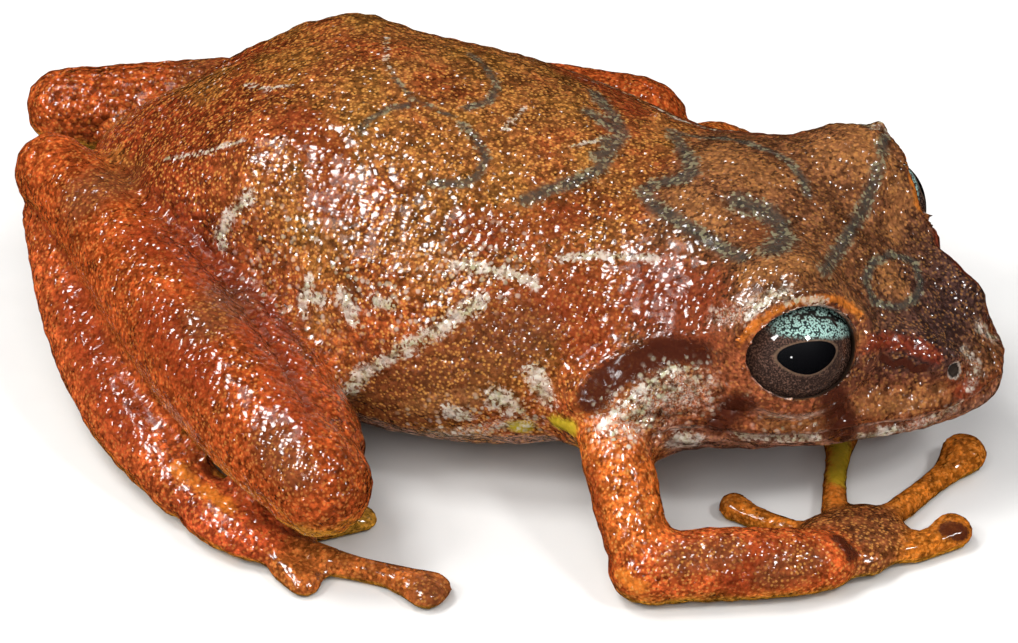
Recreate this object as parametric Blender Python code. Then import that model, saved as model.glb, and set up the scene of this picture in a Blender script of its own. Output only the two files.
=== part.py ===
"""A rain frog, life size, sitting on its folded hind legs with its right hand spread before it.

The frog looks along +X, its left side is +Y and the floor is z = 0. Every size here is in
millimetres, and becomes metres where a mesh is made. The trunk and head are one form, read
ring by ring and parted at the neck. Each limb is a row of oval sections along a bent path, and
where two pieces meet, one is cut back by the other, so that they lie face to face.
"""

import math

import bmesh
import bpy
import numpy as np
from mathutils import Vector

MM = 0.001
GAP = 0.3
# The soft undersides lie flat on the floor, so a thin slice is taken off whatever touches it
FLOOR_CUT = 0.07

# Trunk and head: x, half width, top, bottom, height of the widest level, squareness
BODY_STATIONS = (
    (-18.6, 4.0, 8.8, 2.6, 5.6, 2.0),
    (-15.0, 5.2, 9.8, 1.2, 5.2, 2.0),
    (-11.0, 6.8, 11.6, 0.1, 4.7, 2.1),
    (-8.0, 7.8, 12.4, -0.15, 4.6, 2.1),
    (-4.0, 8.7, 12.15, -0.15, 4.5, 2.1),
    (0.0, 8.5, 11.6, 0.2, 4.6, 2.1),
    (4.0, 7.5, 11.0, 1.3, 4.7, 2.1),
    (8.0, 7.2, 11.3, 2.4, 4.6, 2.2),
    (12.0, 6.45, 10.1, 3.0, 4.5, 1.85),
    (15.0, 5.3, 8.6, 2.9, 4.4, 1.7),
    (18.0, 4.8, 7.8, 2.9, 4.7, 1.75),
)
SNOUT_X = 17.75
SNOUT_ROUND_X = 8.5
SNOUT_BLUNT = 2.4
RUMP_X = -18.6
RUMP_ROUND_X = -11.5
RUMP_BLUNT = 2.2
# A ring's points are looked for from this far out
RING_FROM = 16.0
BODY_SIDES = 40
TORSO_RINGS = 26
HEAD_RINGS = 26
# Both run past the neck cut, which then parts them
TORSO_END_X = 8.5
HEAD_END_X = 3.0
# The neck cut leans forward as it goes down, so that the arm stays on the torso
NECK_TOP = (4.2, 0.0, 11.3)
NECK_LEAN = math.radians(20)

# Eyes, with lids over them
EYE = (10.75, 4.2, 7.5)
EYE_RADIUS = 2.4
CORNEA_OUT = 0.35
CORNEA_RADIUS = 1.8
EYE_TURN = math.radians(50)
EYE_LIFT = math.radians(28)
LID_OPEN_WIDE = 2.28
LID_OPEN_HIGH = 1.78
LID_FLARE = 1.05
LID_CUT = (0.4, 6.0)

# Mouth and nostrils: the line of the lips lies a little above the head's widest level
LIP_X = 7.0
LIP_RAISE = 0.3
LIP_SLIT = 0.24
LIP_INNER_SLIT = 0.1
LIP_DEPTH = 0.45
LIP_CUT_OUT = 1.5
# The lower jaw is set in under the upper lip, from the mouth's corner on
JAW_INSET = 0.3
JAW_INSET_RUN = 1.5
NOSTRIL = (16.46, 2.02, 6.38)
NOSTRIL_RADIUS = 0.33

# Swellings that melt into the trunk: from, to, radius at each end, softness
SWELLINGS = (
    ((-12.8, 3.3, 7.6), (-9.4, 3.5, 9.3), 1.95, 2.45, 1.2),
    ((12.2, 3.1, 7.9), (15.6, 1.9, 6.6), 1.0, 0.8, 1.0),
    ((10.3, 4.0, 8.2), (10.5, 4.1, 8.0), 3.05, 3.05, 0.9),
    ((10.8, 4.3, 7.3), (10.9, 4.3, 7.3), 2.8, 2.8, 0.5),
    ((8.6, 5.9, 6.8), (4.2, 7.0, 5.2), 0.9, 1.2, 0.7),
    ((4.6, 5.2, 5.6), (5.4, 6.6, 4.6), 2.2, 1.9, 1.0),
)

# Limbs of the right side: x, y, z, half width, half height
UPPER_ARM = (
    (4.3, -5.7, 5.2, 1.5, 1.5),
    (5.6, -8.1, 4.3, 1.4, 1.4),
    (6.5, -9.4, 3.1, 1.25, 1.3),
    (7.4, -10.6, 1.9, 1.25, 1.25),
)
FOREARM = (
    (7.8, -10.95, 1.3, 1.32, 1.32),
    (10.4, -9.65, 1.32, 1.36, 1.34),
    (12.3, -8.75, 1.24, 1.34, 1.26),
    (13.6, -7.85, 1.05, 1.25, 1.05),
)
PALM = (
    (13.2, -7.9, 0.95, 1.25, 0.9),
    (14.0, -6.4, 0.8, 1.9, 0.82),
    (14.6, -5.1, 0.7, 1.6, 0.68),
)
FINGERS = (
    (
        (12.6, -6.4, 0.65, 0.5, 0.5),
        (11.6, -6.0, 0.55, 0.45, 0.45),
        (10.4, -5.75, 0.45, 0.42, 0.4),
        (9.3, -5.4, 0.5, 0.62, 0.5),
    ),
    (
        (13.2, -5.6, 0.65, 0.6, 0.55),
        (12.8, -4.2, 0.55, 0.5, 0.5),
        (12.3, -2.7, 0.48, 0.45, 0.42),
        (11.9, -1.1, 0.42, 0.48, 0.4),
        (11.6, 0.0, 0.5, 0.75, 0.5),
    ),
    (
        (14.7, -4.8, 0.7, 0.65, 0.6),
        (15.1, -3.4, 0.58, 0.52, 0.5),
        (15.6, -1.8, 0.5, 0.46, 0.44),
        (16.0, -0.5, 0.46, 0.58, 0.44),
        (16.3, 0.35, 0.7, 0.98, 0.7),
    ),
    (
        (14.9, -6.4, 0.75, 0.75, 0.68),
        (15.9, -5.8, 0.65, 0.66, 0.6),
        (16.7, -4.9, 0.52, 0.6, 0.5),
        (17.3, -4.0, 0.6, 0.84, 0.6),
    ),
)
THIGH = (
    (-15.0, -3.0, 5.2, 2.0, 2.0),
    (-11.5, -6.1, 5.1, 2.3, 2.3),
    (-7.7, -9.4, 4.7, 2.2, 2.2),
    (-4.6, -12.0, 4.2, 1.9, 1.9),
)
SHANK = (
    (-3.65, -13.9, 4.2, 1.95, 2.0),
    (-7.2, -11.6, 4.8, 2.35, 2.3),
    (-11.0, -8.7, 5.5, 2.4, 2.3),
    (-15.0, -5.5, 6.1, 2.0, 2.0),
    (-19.2, -2.5, 6.4, 1.5, 1.55),
)
TARSUS = (
    (-19.0, -3.1, 5.1, 1.2, 1.2),
    (-16.3, -6.75, 3.4, 1.5, 1.45),
    (-12.65, -10.15, 2.2, 1.8, 1.65),
    (-9.6, -12.4, 1.25, 1.35, 1.15),
)
SOLE = (
    (-9.4, -12.4, 1.15, 1.25, 1.05),
    (-6.9, -13.5, 0.95, 1.4, 0.9),
    (-5.8, -13.7, 0.8, 1.15, 0.72),
)
TOES = (
    (
        (-6.2, -13.2, 0.6, 0.45, 0.45),
        (-6.0, -11.8, 0.5, 0.4, 0.4),
        (-6.0, -10.6, 0.38, 0.55, 0.36),
    ),
    (
        (-5.6, -13.4, 0.62, 0.48, 0.46),
        (-5.0, -11.6, 0.5, 0.42, 0.4),
        (-4.8, -9.9, 0.38, 0.6, 0.36),
    ),
    (
        (-5.4, -13.2, 0.62, 0.48, 0.46),
        (-4.4, -12.1, 0.52, 0.45, 0.44),
        (-3.3, -10.8, 0.4, 0.7, 0.38),
    ),
    (
        (-4.8, -13.6, 0.68, 0.55, 0.55),
        (-2.9, -13.8, 0.55, 0.5, 0.5),
        (-1.0, -13.7, 0.5, 0.48, 0.46),
        (0.6, -13.95, 0.5, 1.0, 0.5),
    ),
    (
        (-5.5, -14.2, 0.68, 0.58, 0.55),
        (-4.7, -14.75, 0.52, 0.52, 0.48),
        (-3.8, -15.05, 0.42, 0.72, 0.42),
    ),
)
# The left arm is drawn back under the throat, more and more outside the shoulder
LEFT_ARM_BACK = 3.4
LEFT_ARM_OUT = 2.4
SHOULDER_Y = -6.4
SHOULDER_RUN = 2.0
ELBOW_X = 7.0
# The left knee lies further forward and in, and the left heel lower and further back
LEFT_HEEL_BACK = 1.8
LEFT_KNEE_FORWARD = 3.1
LEFT_KNEE_IN = 2.7
LEFT_HEEL_DROP = 0.7
LEFT_DROP_EASE = 1.5
SHANK_LOWEST = 4.0
HEEL_X = -19.4
KNEE_X = -3.9

FINISHES = {
    "back_skin": ((0.43, 0.17, 0.035, 1.0), 0.4),
    "head_skin": ((0.30, 0.12, 0.045, 1.0), 0.4),
    "leg_skin": ((0.45, 0.10, 0.025, 1.0), 0.38),
    "arm_skin": ((0.48, 0.14, 0.03, 1.0), 0.38),
    "digit_skin": ((0.55, 0.22, 0.03, 1.0), 0.36),
    "eye_gloss": ((0.04, 0.035, 0.03, 1.0), 0.08),
}


def clear_scene():
    for thing in list(bpy.data.objects):
        bpy.data.objects.remove(thing)


def finish(name):
    """The finish of this name, made when it is first asked for."""
    found = bpy.data.materials.get(name)
    if found:
        return found
    colour, roughness = FINISHES[name]
    made = bpy.data.materials.new(name)
    made.use_nodes = True
    shader = made.node_tree.nodes["Principled BSDF"]
    shader.inputs["Base Color"].default_value = colour
    shader.inputs["Roughness"].default_value = roughness
    return made


def smooth_rows(stations, places):
    """The stations' columns at these places along their first column, on a smooth curve."""
    table = np.array(stations, float)
    knots, columns = table[:, 0], table[:, 1:]
    step = np.diff(knots)[:, None]
    slope = np.diff(columns, axis=0) / step
    inner = (slope[:-1] * step[1:] + slope[1:] * step[:-1]) / (step[1:] + step[:-1])
    tangent = np.vstack([slope[:1], inner, slope[-1:]])
    k = np.clip(np.searchsorted(knots, places) - 1, 0, len(knots) - 2)
    h = step[k]
    t = (np.asarray(places)[:, None] - knots[k][:, None]) / h
    return (
        (2 * t**3 - 3 * t**2 + 1) * columns[k]
        + (t**3 - 2 * t**2 + t) * h * tangent[k]
        + (3 * t**2 - 2 * t**3) * columns[k + 1]
        + (t**3 - t**2) * h * tangent[k + 1]
    )


def body_section(x):
    """Half width, height above and below the widest level, that level, and squareness, at each x."""
    x = np.clip(np.ravel(x), RUMP_X, SNOUT_X)
    width, top, bottom, widest, square = smooth_rows(BODY_STATIONS, x).T
    ahead = np.clip((x - SNOUT_ROUND_X) / (SNOUT_X - SNOUT_ROUND_X), 0, 1)
    behind = np.clip((RUMP_ROUND_X - x) / (RUMP_ROUND_X - RUMP_X), 0, 1)
    close = np.sqrt(np.maximum(1 - ahead**SNOUT_BLUNT, 1e-6))
    close *= np.sqrt(np.maximum(1 - behind**RUMP_BLUNT, 1e-6))
    return width * close, (top - widest) * close, (widest - bottom) * close, widest, square


def capsule_distance(points, start, end, r_start, r_end):
    start, end = np.array(start), np.array(end)
    along = end - start
    t = np.clip((points - start) @ along / (along @ along), 0, 1)
    near = start + t[:, None] * along
    return np.linalg.norm(points - near, axis=1) - (r_start + (r_end - r_start) * t)


def melt(a, b, soft):
    """The smaller of two distances, rounded over where they are nearly the same."""
    h = np.clip(0.5 + 0.5 * (b - a) / soft, 0, 1)
    return b + (a - b) * h - soft * h * (1 - h)


def body_distance(points):
    """About how far each point lies outside the trunk and head, below 0 inside."""
    x, y, z = points.T
    width, above, below, widest, square = body_section(x)
    over = z > widest
    under = z < widest + LIP_RAISE
    jaw = np.where(under, JAW_INSET * np.clip((x - LIP_X) / JAW_INSET_RUN, 0, 1), 0)
    wide = np.maximum(width - jaw, 0.02)
    high = np.maximum(np.where(over, above, below), 0.02)
    reach = (np.abs(y) / wide) ** square + (np.abs(z - widest) / high) ** square
    distance = (reach ** (1 / square) - 1) * np.minimum(wide, high)
    mirrored = np.column_stack([x, np.abs(y), z])
    for start, end, r_start, r_end, soft in SWELLINGS:
        distance = melt(distance, capsule_distance(mirrored, start, end, r_start, r_end), soft)
    return distance


def body_ring(x, sides):
    """The trunk's outline in the plane at x, each point found from outside along its own ray."""
    turn = 2 * np.pi * (np.arange(sides) + 0.5) / sides
    middle = float(body_section(x)[3][0]) + 0.6
    aim = np.column_stack([np.zeros(sides), np.cos(turn), np.sin(turn)])
    start = np.array([x, 0.0, middle])
    reach = np.linspace(RING_FROM, 0.0, 81)
    points = start + aim[:, None, :] * reach[None, :, None]
    inside = body_distance(points.reshape(-1, 3)).reshape(sides, -1) < 0
    first = np.argmax(inside, axis=1)
    far, near = reach[first - 1], reach[first]
    for _ in range(14):
        half = 0.5 * (far + near)
        deep = body_distance(start + aim * half[:, None]) < 0
        near = np.where(deep, half, near)
        far = np.where(deep, far, half)
    return start + aim * near[:, None]


def new_object(name, points, faces, finish_name):
    """A closed mesh from points in millimetres, shaded smooth, with its faces turned out."""
    mesh = bpy.data.meshes.new(name)
    mesh.from_pydata([tuple(MM * c for c in p) for p in points], [], faces)
    form = bmesh.new()
    form.from_mesh(mesh)
    bmesh.ops.recalc_face_normals(form, faces=form.faces)
    form.to_mesh(mesh)
    form.free()
    mesh.shade_smooth()
    mesh.materials.append(finish(finish_name))
    made = bpy.data.objects.new(name, mesh)
    bpy.context.scene.collection.objects.link(made)
    return made


def loft(name, rings, finish_name):
    """Rings joined in order. A ring of one point closes an end, and any other end gets a flat cap."""
    points, starts = [], []
    for ring in rings:
        starts.append((len(points), len(ring)))
        points.extend(ring)
    faces = []
    for (a, sides_a), (b, sides_b) in zip(starts, starts[1:]):
        sides = max(sides_a, sides_b)
        for k in range(sides):
            n = (k + 1) % sides
            if sides_a == 1:
                faces.append((a, b + n, b + k))
            elif sides_b == 1:
                faces.append((a + k, a + n, b))
            else:
                faces.append((a + k, a + n, b + n, b + k))
    for start, sides in (starts[0], starts[-1]):
        if sides > 1:
            faces.append(tuple(range(start, start + sides)))
    return new_object(name, points, faces, finish_name)


def ring_places(tip, end, count):
    """Places from a rounded tip to the far end, closer together at the tip."""
    share = np.arange(1, count + 1) / count
    return tip + (end - tip) * (0.3 * share + 0.7 * (1 - np.cos(0.5 * np.pi * share)))


def sections(rows, tangents, sides):
    """Oval rings across a path, each row being a centre, a half width and a half height."""
    turn = 2 * np.pi * np.arange(sides) / sides
    rings = []
    for row, along in zip(rows, tangents):
        across = np.cross(along, (0.0, 0.0, 1.0))
        across /= np.linalg.norm(across)
        lift = np.cross(across, along)
        wide = row[3] * np.cos(turn)[:, None] * across
        high = row[4] * np.sin(turn)[:, None] * lift
        rings.append(row[:3] + wide + high)
    return rings


def limb(name, stations, sides, finish_name, spacing=0.9):
    """A limb of oval sections along a smooth path, with a rounded end before and after them."""
    table = np.array(stations, float)
    steps = np.linalg.norm(np.diff(table[:, :3], axis=0), axis=1)
    run = np.concatenate([[0], np.cumsum(steps)])
    places = np.linspace(0, run[-1], max(4, round(run[-1] / spacing) + 1))
    rows = smooth_rows(np.column_stack([run, table]), places)
    tangents = np.gradient(rows[:, :3], places, axis=0)
    tangents /= np.linalg.norm(tangents, axis=1)[:, None]

    def cap(row, along, way):
        """The rings and the closing point of one rounded end, from the limb outwards."""
        reach = 0.5 * (row[3] + row[4])
        rounds, turned = [], np.radians((30, 60))
        for angle in turned:
            shrunk = np.concatenate(
                [row[:3] + way * along * reach * math.sin(angle), row[3:] * math.cos(angle)]
            )
            rounds.extend(sections([shrunk], [along], sides))
        rounds.append([row[:3] + way * along * reach])
        return rounds

    before = cap(rows[0], tangents[0], -1)[::-1]
    after = cap(rows[-1], tangents[-1], 1)
    return loft(name, before + sections(rows, tangents, sides) + after, finish_name)


def volume_of(faces):
    """The signed volume inside a closed surface of flat faces."""
    total = 0.0
    for face in faces:
        first, *rest = [vert.co for vert in face.verts]
        for second, third in zip(rest, rest[1:]):
            total += first.dot(second.cross(third)) / 6
    return total


def largest_piece(target):
    """Drops every closed surface of the object but the one that holds most."""
    form = bmesh.new()
    form.from_mesh(target.data)
    left, pieces = set(form.verts), []
    while left:
        waiting, piece = [left.pop()], set()
        while waiting:
            vert = waiting.pop()
            piece.add(vert)
            for edge in vert.link_edges:
                other = edge.other_vert(vert)
                if other in left:
                    left.remove(other)
                    waiting.append(other)
        faces = {face for vert in piece for face in vert.link_faces}
        pieces.append((volume_of(faces), list(piece)))
    pieces.sort(key=lambda found: found[0], reverse=True)
    for _, piece in pieces[1:]:
        bmesh.ops.delete(form, geom=piece, context="VERTS")
    form.to_mesh(target.data)
    form.free()


def cut(target, cutter):
    """Takes the cutter's space out of the target and removes the cutter."""
    cutter.hide_render = True
    cutter.display_type = "WIRE"
    step = target.modifiers.new("cut", "BOOLEAN")
    step.operation = "DIFFERENCE"
    step.solver = "EXACT"
    step.object = cutter
    graph = bpy.context.evaluated_depsgraph_get()
    result = bpy.data.meshes.new_from_object(target.evaluated_get(graph))
    target.modifiers.remove(step)
    target.data = result
    bpy.data.objects.remove(cutter)
    largest_piece(target)


def grown(source, by=GAP):
    """A copy of the object that stands out from it all over by the gap."""
    copy = source.copy()
    copy.data = source.data.copy()
    bpy.context.scene.collection.objects.link(copy)
    normals = [vertex.normal.copy() for vertex in copy.data.vertices]
    for vertex, normal in zip(copy.data.vertices, normals):
        vertex.co += normal * by * MM
    return copy


def set_against(target, *neighbours):
    for neighbour in neighbours:
        cut(target, grown(neighbour))


def slice_off(target, point, normal):
    """Removes what lies on the normal's side of a plane, and closes the cut flat."""
    form = bmesh.new()
    form.from_mesh(target.data)
    bmesh.ops.bisect_plane(
        form,
        geom=form.verts[:] + form.edges[:] + form.faces[:],
        plane_co=Vector(point) * MM,
        plane_no=normal,
        clear_outer=True,
    )
    rim = [edge for edge in form.edges if edge.is_boundary]
    bmesh.ops.holes_fill(form, edges=rim, sides=0)
    bmesh.ops.recalc_face_normals(form, faces=form.faces)
    form.to_mesh(target.data)
    form.free()


def eye_axis(side):
    flat = math.cos(EYE_LIFT)
    return Vector(
        (flat * math.cos(EYE_TURN), side * flat * math.sin(EYE_TURN), math.sin(EYE_LIFT))
    )


def ball(name, centre, radius, segments, rings, finish_name="eye_gloss"):
    """A sphere whose poles point up and down."""
    levels = [[np.add(centre, (0, 0, radius))]]
    for k in range(1, rings):
        polar = math.pi * k / rings
        turn = 2 * np.pi * np.arange(segments) / segments
        level = np.column_stack(
            [
                radius * math.sin(polar) * np.cos(turn),
                radius * math.sin(polar) * np.sin(turn),
                np.full(segments, radius * math.cos(polar)),
            ]
        )
        levels.append(level + np.array(centre))
    levels.append([np.add(centre, (0, 0, -radius))])
    return loft(name, levels, finish_name)


def make_eye(side, name):
    """The eyeball, its poles on its axis, with the cornea standing out in front."""
    centre = Vector((EYE[0], side * EYE[1], EYE[2]))
    made = ball(f"eye_{name}", (0, 0, 0), EYE_RADIUS, 18, 12)
    turn = eye_axis(side).to_track_quat("Z", "Y")
    for vertex in made.data.vertices:
        place = vertex.co / MM
        off_axis = math.hypot(place.x, place.y)
        if place.z > 0 and off_axis < CORNEA_RADIUS:
            place.z += CORNEA_OUT * (1 - (off_axis / CORNEA_RADIUS) ** 2)
        vertex.co = (turn @ place + centre) * MM
    return made


def make_socket(side):
    return ball("socket", (EYE[0], side * EYE[1], EYE[2]), EYE_RADIUS + GAP, 22, 14)


def make_lid_opening(side):
    """An oval rod from inside the eye outwards, whose cut leaves the rims of the lids."""
    axis = eye_axis(side)
    turn = axis.to_track_quat("Z", "Y")
    centre = Vector((EYE[0], side * EYE[1], EYE[2]))
    rings = []
    for out, flare in zip(LID_CUT, (1.0, LID_FLARE)):
        rings.append(
            [
                turn
                @ Vector(
                    (
                        flare * LID_OPEN_WIDE * math.cos(angle),
                        flare * LID_OPEN_HIGH * math.sin(angle),
                        out,
                    )
                )
                + centre
                for angle in np.linspace(0, 2 * math.pi, 22, endpoint=False)
            ]
        )
    return loft("lid_opening", rings, "eye_gloss")


def make_mouth():
    """A thin band round the front of the head at the lips' level, which cuts the mouth's line."""
    places = ring_places(SNOUT_X, LIP_X, 16)
    width, _, _, level, _ = body_section(places)
    right = [(SNOUT_X, 0.0, float(body_section(SNOUT_X)[3][0]))]
    right += [(x, -w, z) for x, w, z in zip(places, width, level)]
    lip = np.array([(x, -y, z) for x, y, z in right[:0:-1]] + right)
    lip[:, 2] += LIP_RAISE
    ahead = np.gradient(lip, axis=0)
    out = np.column_stack([ahead[:, 1], -ahead[:, 0], np.zeros(len(lip))])
    out /= np.linalg.norm(out, axis=1)[:, None]
    if out[len(out) // 2][0] < 0:
        out = -out
    rings = []
    for centre, way in zip(lip, out):
        inner, outer = centre - way * LIP_DEPTH, centre + way * LIP_CUT_OUT
        rings.append(
            [
                inner + (0, 0, LIP_INNER_SLIT),
                outer + (0, 0, LIP_SLIT),
                outer - (0, 0, LIP_SLIT),
                inner - (0, 0, LIP_INNER_SLIT),
            ]
        )
    return loft("mouth", rings, "eye_gloss")


def make_torso():
    places = ring_places(RUMP_X, TORSO_END_X, TORSO_RINGS)
    tip = [(RUMP_X - 0.02, 0.0, float(body_section(RUMP_X)[3][0]) + 0.3)]
    made = loft("torso", [tip] + [body_ring(x, BODY_SIDES) for x in places], "back_skin")
    slice_off(made, NECK_TOP, neck_normal())
    return made


def neck_normal():
    return Vector((math.cos(NECK_LEAN), 0.0, math.sin(NECK_LEAN)))


def make_head():
    places = ring_places(SNOUT_X, HEAD_END_X, HEAD_RINGS)
    tip = [(SNOUT_X, 0.0, float(body_section(SNOUT_X)[3][0]) + 0.5)]
    made = loft("head", [tip] + [body_ring(x, BODY_SIDES) for x in places], "head_skin")
    slice_off(made, Vector(NECK_TOP) + neck_normal() * GAP, -neck_normal())
    return made


def carve_face(head):
    """Opens the sockets, the lids, the nostrils and the mouth's line in the plain head."""
    for side in (-1, 1):
        cut(head, make_lid_opening(side))
        cut(head, make_socket(side))
        cut(head, ball("nostril", (NOSTRIL[0], side * NOSTRIL[1], NOSTRIL[2]), NOSTRIL_RADIUS, 10, 7))
    cut(head, make_mouth())


def left_arm(stations):
    """The right arm's stations for the left side, drawn back from the shoulder on."""
    placed = []
    for x, y, z, wide, high in stations:
        free = min(1.0, max(0.0, (SHOULDER_Y - y) / SHOULDER_RUN)) if x < ELBOW_X else 1.0
        placed.append((x - LEFT_ARM_BACK * free, -y + LEFT_ARM_OUT * free, z, wide, high))
    return placed


def left_leg(stations):
    """The right leg's stations for the left side, with the knee moved and the heel drawn back."""
    placed = []
    for x, y, z, wide, high in stations:
        knee = min(1.0, max(0.0, (x - HEEL_X) / (KNEE_X - HEEL_X)))
        shift = LEFT_KNEE_FORWARD * knee - LEFT_HEEL_BACK * (1 - knee)
        drop = LEFT_HEEL_DROP * (1 - knee**LEFT_DROP_EASE) if z > SHANK_LOWEST else 0.0
        placed.append((x + shift, -y - LEFT_KNEE_IN * knee, z - drop, wide, high))
    return placed


def as_given(stations):
    return stations


def make_arm(name, place, torso, head):
    forearm = limb(f"forearm_{name}", place(FOREARM), 14, "arm_skin", 1.1)
    upper_arm = limb(f"upper_arm_{name}", place(UPPER_ARM), 14, "arm_skin", 1.1)
    set_against(upper_arm, torso, head, forearm)
    hand = limb(f"hand_{name}", place(PALM), 14, "arm_skin", 0.8)
    set_against(hand, forearm)
    fingers = []
    for count, stations in enumerate(FINGERS, 1):
        finger = limb(f"finger_{count}_{name}", place(stations), 8, "digit_skin")
        set_against(finger, hand, forearm, *fingers)
        fingers.append(finger)
    return [upper_arm, forearm, hand, *fingers]


def make_leg(name, place, torso):
    thigh = limb(f"thigh_{name}", place(THIGH), 16, "leg_skin", 1.4)
    shank = limb(f"shank_{name}", place(SHANK), 16, "leg_skin", 1.4)
    set_against(shank, torso, thigh)
    tarsus = limb(f"tarsus_{name}", place(TARSUS), 12, "leg_skin", 1.2)
    set_against(tarsus, torso, shank, thigh)
    set_against(thigh, torso)
    foot = limb(f"foot_{name}", place(SOLE), 12, "leg_skin")
    set_against(foot, tarsus, shank)
    toes = []
    for count, stations in enumerate(TOES, 1):
        toe = limb(f"toe_{count}_{name}", place(stations), 8, "digit_skin")
        set_against(toe, foot, shank, *toes)
        toes.append(toe)
    return [thigh, shank, tarsus, foot, *toes]


def centre_on_floor(pieces):
    """Moves the frog so that the middle of its box's base is the origin."""
    corners = np.array([v.co for piece in pieces for v in piece.data.vertices])
    low, high = corners.min(axis=0), corners.max(axis=0)
    shift = Vector((-0.5 * (low[0] + high[0]), -0.5 * (low[1] + high[1]), -low[2]))
    for piece in pieces:
        for vertex in piece.data.vertices:
            vertex.co += shift
    return shift


def main():
    clear_scene()
    torso = make_torso()
    head = make_head()
    pieces = [torso, head]
    for side, name, arm_place, leg_place in (
        (-1, "right", as_given, as_given),
        (1, "left", left_arm, left_leg),
    ):
        pieces.append(make_eye(side, name))
        pieces.extend(make_arm(name, arm_place, torso, head))
        pieces.extend(make_leg(name, leg_place, torso))
    carve_face(head)
    for piece in pieces:
        if not piece.name.startswith("eye"):
            slice_off(piece, (0.0, 0.0, FLOOR_CUT), Vector((0.0, 0.0, -1.0)))
            largest_piece(piece)
    return centre_on_floor(pieces)


if __name__ == "__main__":
    main()
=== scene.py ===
"""A rain frog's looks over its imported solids: one unbroken skin, two eyes and a plain stage.

Lengths here are in millimetres in the frog's own frame: x towards the snout, y to the frog's
left, z up from the floor. The frame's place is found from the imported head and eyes.
"""

import math

import bmesh
import bpy
import numpy as np
from bpy.props import FloatProperty, FloatVectorProperty, PointerProperty
from bpy.types import Operator, Panel, PropertyGroup
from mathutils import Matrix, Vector, kdtree
from mathutils.bvhtree import BVHTree


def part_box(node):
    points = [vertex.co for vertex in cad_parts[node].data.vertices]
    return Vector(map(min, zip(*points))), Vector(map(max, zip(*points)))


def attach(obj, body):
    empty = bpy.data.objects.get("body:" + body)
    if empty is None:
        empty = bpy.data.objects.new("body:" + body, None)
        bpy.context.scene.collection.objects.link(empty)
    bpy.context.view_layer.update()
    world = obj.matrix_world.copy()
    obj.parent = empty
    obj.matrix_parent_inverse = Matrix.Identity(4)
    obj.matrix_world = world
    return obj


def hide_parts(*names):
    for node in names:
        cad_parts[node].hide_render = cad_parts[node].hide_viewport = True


bl_info = {
    "name": "Rain frog",
    "version": (1, 0, 0),
    "blender": (4, 5, 0),
    "location": "3D View > Sidebar > Rain frog",
    "description": "Dresses the packed solids of a small rain frog in skin and eyes",
    "category": "Object",
}

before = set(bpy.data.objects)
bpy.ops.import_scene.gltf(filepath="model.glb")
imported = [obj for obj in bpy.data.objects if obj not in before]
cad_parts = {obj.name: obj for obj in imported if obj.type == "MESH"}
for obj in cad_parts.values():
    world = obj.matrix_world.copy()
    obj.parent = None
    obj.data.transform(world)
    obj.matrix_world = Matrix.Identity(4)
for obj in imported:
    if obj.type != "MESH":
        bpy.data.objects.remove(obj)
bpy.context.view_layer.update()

MM = 0.001
BODY = "root"
FLESH = [name for name in sorted(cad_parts) if not name.startswith("eye")]
SIDES = (("right", -1), ("left", 1))

# The frog's frame: the snout's tip lies this far ahead of its origin, midway between the eyes
SNOUT_X = 17.75
EYE_BOXES = [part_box("eye_right"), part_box("eye_left")]
ORIGIN = np.array(
    (
        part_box("head")[1].x / MM - SNOUT_X,
        sum(low.y + high.y for low, high in EYE_BOXES) / 4 / MM,
        0.0,
    )
)

# The camera stands where the photographer's did. BACK points from the frog to the camera.
CAMERA_TURN = math.radians(21)
CAMERA_LIFT = math.radians(37)
CAMERA_TARGET = np.array((-0.5, -3.0, 4.63))
CAMERA_FAR = 240.0
PHOTO_WIDE, PHOTO_HIGH = 1018, 643
PIXELS_PER_MM = 26.9
SENSOR = 36.0
BACK = np.array(
    (
        math.sin(CAMERA_TURN) * math.cos(CAMERA_LIFT),
        -math.cos(CAMERA_TURN) * math.cos(CAMERA_LIFT),
        math.sin(CAMERA_LIFT),
    )
)
RIGHT = np.array((math.cos(CAMERA_TURN), math.sin(CAMERA_TURN), 0.0))
UP = np.cross(BACK, RIGHT)

# Lights: kind, place, side and share of the kind's power. Only the glint lights show in wet skin.
LIGHTS = (
    ("key", "key", (60, -260, 330), 220, 1),
    ("fill", "fill", (-320, -120, 180), 260, 1),
    ("rim", "fill", (180, 300, 260), 200, 1),
    ("glint_above", "glint", (-140, -60, 370), 120, 0.55),
    ("glint_main", "glint", (244, -79, 307), 60, 0.3),
    ("glint_rear", "glint", (-160, -215, 295), 90, 0.34),
    ("glint_low", "glint", (106, -365, 125), 26, 0.03),
)
SKY = (0.93, 0.95, 1.0, 1.0)
FLOOR_WIDE = 3000
FLOOR_GAP = 0.01

# The left eye's centre, and the ways that the lids' opening and the pupil face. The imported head
# leaves a gap round each eye, which the lids close but for a little.
EYE = np.array((10.75, 4.2, 7.43))
EYE_RADIUS = 2.4
LID_AXIS = (math.radians(50), math.radians(28))
PUPIL_AXIS = (math.radians(51), math.radians(27))
PUPIL_TILT = math.radians(4)
LID_OPEN = (2.28, 1.78)
LID_REACH = 4.4
SOCKET_GAP, LID_CLEAR = 0.3, 0.05
CORNEA_WIDE, CORNEA_HIGH = 1.8, 0.22

# The left nostril, and the height of the line between the lips at places along the head
NOSTRIL = np.array((16.44, 1.95, 6.25))
LIP_LEVELS = ((6.0, 4.8), (12.0, 4.73), (15.0, 4.63), (18.0, 4.93))

# Ridges and grooves: how far from their line they are, half width, and height, below 0 in a
# groove. Round the eye the distance is in shares of the lids' opening.
LID_RIM, LID_FOLD = (1.2, 0.1, 0.12), (1.5, 0.09, -0.07)
LIP_RIM, LIP_LINE = (0.42, 0.25, 0.08), (0.0, 0.16, -0.16)
NOSTRIL_RIM, NOSTRIL_PIT = (0.55, 0.2, 0.1), (0.0, 0.26, -0.12)

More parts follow.
